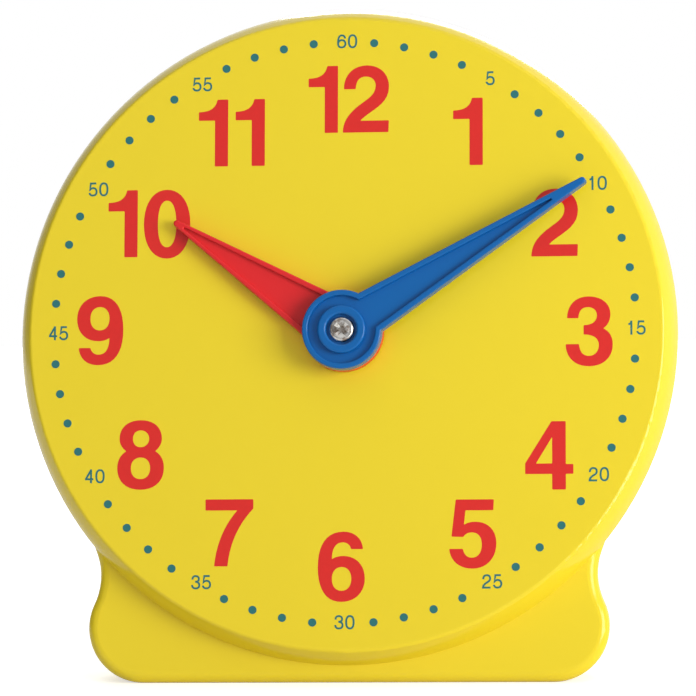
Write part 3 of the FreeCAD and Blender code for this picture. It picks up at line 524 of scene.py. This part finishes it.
def addMinuteNumerals():
    scale = minuteNumerals["height"] / 1000
    for minute, (middleX, middleY) in minuteNumerals["centres"].items():
        digits = str(minute)
        base = middleY - minuteNumerals["height"] / 2
        strokes = []
        for k, digit in enumerate(digits):
            cellStart = (k - len(digits) / 2) * minuteNumerals["cell"]
            left = middleX + (cellStart + minuteNumerals["inset"]) * scale
            for line in thinDigits[digit]:
                points = drawn(line, scale, left, base, minuteNumerals["narrow"])
                strokes.append([ribbon(points, minuteNumerals["stroke"] * scale)])
        addInk(f"minuteNumeral{minute}", strokes, tealInk)


minuteDots = {"ringRadius": 55.27, "dotRadius": 0.78, "sides": 28}


# A dot for every minute that has no number
def addMinuteDots():
    dots = []
    for minute in range(60):
        if minute in minuteNumerals["centres"] or minute == 0:
            continue
        angle = math.radians(minute * 360 / 60)
        centre = Vector((math.sin(angle), math.cos(angle))) * minuteDots["ringRadius"]
        dots.append([[centre + Vector((math.cos(a), math.sin(a))) * minuteDots["dotRadius"]
                      for a in circleAngles(minuteDots["sides"])]])
    addInk("minuteDots", dots, tealInk)


addHourNumerals()
addMinuteNumerals()
addMinuteDots()
print("dial printed:", len(hourNumerals["places"]) + len(minuteNumerals["centres"]), "numbers")

# Every screw has the same pan head, in shares of its own radius (across) or height (up).
panHead = {
    "segments": 72,
    "curveSteps": 8,
    "crown": 0.7,               # where the domed crown passes into the rounded edge
    "crownDrop": 0.24,
    "side": 0.3,                # top of the upright side
    "underSide": 0.15,          # foot of it, as a share of its top, above a slight bevel
    "underRadius": 0.97,
    "wingReach": 0.76,          # the cross recess where it opens
    "wingWidth": 0.2,
    "wingReachDeep": 0.24,      # and at its bottom
    "wingWidthDeep": 0.07,
    "crossDepth": 0.85,
    "cutterTop": 1.1,           # the cutter stands above the crown
    "bevel": 0.012,
    "bevelSegments": 2,
    "smoothAngle": 35,          # degrees
    "tip": 0.3,                 # flat end, as a share of the shank
}
handScrew = {"radius": 2.42, "height": 1.3, "shank": 0.9, "length": 8.0, "turn": 47.0}
coverScrew = {"radius": 2.5, "height": 1.8, "shank": 1.3, "length": 10.0, "turn": 20.0, "count": 6}


# Half section of a screw, as radius and height above its seat, from the crown down to the tip
def screwProfile(values):
    radius, height, shank, length = (values[key] for key in ("radius", "height", "shank", "length"))
    crown = radius * panHead["crown"]
    drop = height * panHead["crownDrop"]
    side = height * panHead["side"]
    shares = [(i + 1) / panHead["curveSteps"] for i in range(panHead["curveSteps"])]
    points = [(crown * share, height - drop * share**2) for share in shares]
    for share in shares:
        swing = math.radians(90 * share)
        points.append((crown + (radius - crown) * math.sin(swing),
                       side + (height - drop - side) * math.cos(swing)))
    points += [
        (radius, side * panHead["underSide"]),
        (radius * panHead["underRadius"], 0),
        (shank, 0),
        (shank, shank - length),
        (shank * panHead["tip"], -length),
    ]
    return points


# The screw turned about its own axis
def turnedScrew(values):
    screw = bmesh.new()
    top = screw.verts.new((0, 0, values["height"] * mm))
    bottom = screw.verts.new((0, 0, -values["length"] * mm))
    angles = circleAngles(panHead["segments"])
    rings = []
    for radius, height in screwProfile(values):
        rings.append([screw.verts.new((radius * math.cos(a) * mm, radius * math.sin(a) * mm, height * mm))
                      for a in angles])
    for k in range(len(angles)):
        following = (k + 1) % len(angles)
        screw.faces.new((top, rings[0][k], rings[0][following]))
        screw.faces.new((bottom, rings[-1][following], rings[-1][k]))
        for upper, lower in zip(rings, rings[1:]):
            screw.faces.new((upper[k], lower[k], lower[following], upper[following]))
    return screw


# Tapered wedge that cuts one pair of the cross recess's wings
def wingWedge(values, turn):
    radius = values["radius"] * mm
    height = values["height"] * mm
    levels = [
        (height * panHead["cutterTop"], panHead["wingReach"], panHead["wingWidth"]),
        (height * (1 - panHead["crossDepth"]), panHead["wingReachDeep"], panHead["wingWidthDeep"]),
    ]
    turned = Matrix.Rotation(math.radians(turn), 4, "Z")
    wedge = bmesh.new()
    rings = []
    for level, reach, width in levels:
        corners = [(reach, width), (-reach, width), (-reach, -width), (reach, -width)]
        rings.append([wedge.verts.new(turned @ Vector((x * radius, y * radius, level)))
                      for x, y in corners])
    upper, lower = rings
    wedge.faces.new(upper)
    wedge.faces.new(lower[::-1])
    for k in range(len(upper)):
        following = (k + 1) % len(upper)
        wedge.faces.new((upper[following], upper[k], lower[k], lower[following]))
    return wedge


def asObject(name, shape):
    mesh = bpy.data.meshes.new(name)
    shape.to_mesh(mesh)
    shape.free()
    return addObject(name, mesh)


# Swaps the object's mesh for what its modifiers make of it
def bake(thing):
    graph = bpy.context.evaluated_depsgraph_get()
    finished = bpy.data.meshes.new_from_object(thing.evaluated_get(graph))
    thing.modifiers.clear()
    thing.data = finished


# Screw with a tapered cross recess, on the axis and under the crown of the node that it replaces
def addScrew(name, node, body, values, facing):
    corners = [vertex.co for vertex in frame["nodes"][node].data.vertices]
    middle = Vector((0, 0, 0))
    for axis in (acrossDial, upDial):
        reach = [corner.dot(axis) for corner in corners]
        middle += axis * (min(reach) + max(reach)) / 2
    crown = max(corner.dot(facing) for corner in corners)
    seat = middle + facing * (crown - values["height"] * mm)
    piece = asObject(name, turnedScrew(values))
    for quarter in (0, 90):
        wedge = asObject("wedge", wingWedge(values, values["turn"] + quarter))
        cut = piece.modifiers.new("cut", "BOOLEAN")
        cut.operation = "DIFFERENCE"
        cut.solver = "EXACT"
        cut.object = wedge
        bake(piece)
        bpy.data.objects.remove(wedge)
    soften = piece.modifiers.new("soften", "BEVEL")
    soften.width = values["radius"] * panHead["bevel"] * mm
    soften.segments = panHead["bevelSegments"]
    soften.limit_method = "ANGLE"
    bake(piece)
    axes = Matrix((upDial.cross(facing), upDial, facing)).transposed().to_4x4()
    piece.data.transform(Matrix.Translation(seat) @ axes)
    piece.data.shade_smooth()
    piece.data.set_sharp_from_angle(angle=math.radians(panHead["smoothAngle"]))
    piece.data.materials.clear()
    piece.data.materials.append(materials["zinc_screw"])
    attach(piece, body)
    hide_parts(node)


addScrew("handScrew", "hand_screw", "minute", handScrew, toReader)
for number in range(1, coverScrew["count"] + 1):
    addScrew(f"coverScrew{number}", f"cover_screw_{number}", "case", coverScrew, intoDial)
print("screws added:", coverScrew["count"] + 1)

# Seamless white paper under the clock. A light that only the camera sees, and shiny surfaces a little,
# makes it read as white, and it keeps the shadows.
whitePaper = {
    "albedo": 0.85,
    "lift": 0.6,
    "mirrored": 0.3,            # share of that lift which shiny surfaces show
    "size": 1.3,                # metres
}


# 1 for rays that leave or pass through something shiny, 0 for the rest
def mirroredRays(owner):
    ray = addNode(owner, "ShaderNodeLightPath", {})
    mirrored = addNode(owner, "ShaderNodeMath", {
        0: ray.outputs["Is Glossy Ray"], 1: ray.outputs["Is Transmission Ray"],
    }, operation="MAXIMUM")
    return mirrored.outputs["Value"]


def makeWhitePaper(name):
    material = newMaterial(name)
    sheet = addNode(material, "ShaderNodeBsdfDiffuse", {"Color": [whitePaper["albedo"]] * 3 + [1.0]})
    seen = addNode(material, "ShaderNodeMath", {
        0: mirroredRays(material), 1: whitePaper["mirrored"],
        2: addNode(material, "ShaderNodeLightPath", {}).outputs["Is Camera Ray"],
    }, operation="MULTIPLY_ADD")
    strength = addNode(material, "ShaderNodeMath", {
        0: seen.outputs["Value"], 1: whitePaper["lift"],
    }, operation="MULTIPLY")
    lift = addNode(material, "ShaderNodeEmission", {
        "Color": [1, 1, 1, 1], "Strength": strength.outputs["Value"],
    })
    both = addNode(material, "ShaderNodeAddShader", {0: sheet.outputs["BSDF"], 1: lift.outputs["Emission"]})
    addNode(material, "ShaderNodeOutputMaterial", {"Surface": both.outputs["Shader"]})
    return material


def addFloor():
    half = whitePaper["size"] / 2
    mesh = bpy.data.meshes.new("floor")
    mesh.from_pydata([(-half, -half, 0), (half, -half, 0), (half, half, 0), (-half, half, 0)], [],
                     [(0, 1, 2, 3)])
    mesh.materials.append(makeWhitePaper("white paper"))
    addObject("floor", mesh)


# Soft white tent around the clock. Shiny surfaces show its opening on the reader's side, and its far left
# is dim. The camera sees it as plain white.
whiteTent = {
    "white": 1.0,
    "light": 0.64,              # strength that lights the clock
    "opening": 0.42,            # strength that shiny surfaces show in the opening
    "openingStart": 0.45,       # cosine of the angle from the reader's side
    "openingEnd": 0.9,
    "dim": 0.1,                 # share of the light that comes from the far left
    "dimStart": -0.8,           # cosine of the angle from the right
    "dimEnd": -0.35,
}


# A value that goes from low to high as the direction turns towards an axis, from one cosine to another
def byDirection(owner, axis, start, end, low, high):
    direction = addNode(owner, "ShaderNodeTexCoord", {})
    cosine = addNode(owner, "ShaderNodeVectorMath", {
        0: direction.outputs["Generated"], 1: axis,
    }, operation="DOT_PRODUCT")
    value = addNode(owner, "ShaderNodeMapRange", {
        "Value": cosine.outputs["Value"], "From Min": start, "From Max": end, "To Min": low, "To Max": high,
    })
    return value.outputs["Result"]


def addTent():
    world = bpy.data.worlds.new("white tent")
    bpy.context.scene.world = world
    world.use_nodes = True
    world.node_tree.nodes.clear()
    around = addNode(world, "ShaderNodeMix", {
        "Factor": mirroredRays(world), "A": whiteTent["light"],
        "B": byDirection(world, toReader, whiteTent["openingStart"], whiteTent["openingEnd"],
                         whiteTent["white"], whiteTent["opening"]),
    }, data_type="FLOAT")
    shaded = addNode(world, "ShaderNodeMath", {
        0: around.outputs["Result"],
        1: byDirection(world, acrossDial, whiteTent["dimStart"], whiteTent["dimEnd"],
                       whiteTent["dim"], 1.0),
    }, operation="MULTIPLY")
    strength = addNode(world, "ShaderNodeMix", {
        "Factor": addNode(world, "ShaderNodeLightPath", {}).outputs["Is Camera Ray"],
        "A": shaded.outputs["Value"], "B": whiteTent["white"],
    }, data_type="FLOAT")
    light = addNode(world, "ShaderNodeBackground", {
        "Color": [1, 1, 1, 1], "Strength": strength.outputs["Result"],
    })
    addNode(world, "ShaderNodeOutputWorld", {"Surface": light.outputs["Background"]})


# Places a thing and turns it to a target, with the dial's up direction kept up
def aimAt(thing, place, target, roll=0.0):
    back = (place - target).normalized()
    right = upDial.cross(back).normalized()
    axes = Matrix((right, back.cross(right), back)).transposed().to_4x4()
    thing.matrix_world = Matrix.Translation(place) @ axes @ Matrix.Rotation(math.radians(roll), 4, "Z")


# Soft boxes: place and size in millimetres from the print's centre, along the dial's axes; power in watts
softBoxes = {
    "key": {"place": (640, 0, 500), "width": 460, "height": 380, "power": 4.4},
    "back": {"place": (40, 540, -760), "width": 420, "height": 300, "power": 3.0},
}


def addSoftBox(name, values):
    light = bpy.data.lights.new(name, "AREA")
    light.shape = "RECTANGLE"
    light.size = values["width"] * mm
    light.size_y = values["height"] * mm
    light.energy = values["power"]
    box = addObject(name, light)
    aimAt(box, onDial(*values["place"]), onDial(0, 0))


camera = {
    "place": (93.1, -97.61, 847.83),            # from the print's centre, along the dial's axes
    "target": (0.876, -3.232),
    "roll": 0.107,              # degrees
    "lens": 235.27,
    "sensor": 36.0,
    "nearest": 0.05,            # metres
    "furthest": 20.0,
}


def addCamera():
    view = bpy.data.cameras.new("camera")
    view.sensor_width = camera["sensor"]
    view.lens = camera["lens"]
    view.clip_start = camera["nearest"]
    view.clip_end = camera["furthest"]
    eye = addObject("camera", view)
    aimAt(eye, onDial(*camera["place"]), onDial(*camera["target"]), camera["roll"])
    bpy.context.scene.camera = eye


addFloor()
addTent()
for name, values in softBoxes.items():
    addSoftBox(name, values)
addCamera()
bpy.context.scene.view_settings.view_transform = "Standard"
print("studio ready")
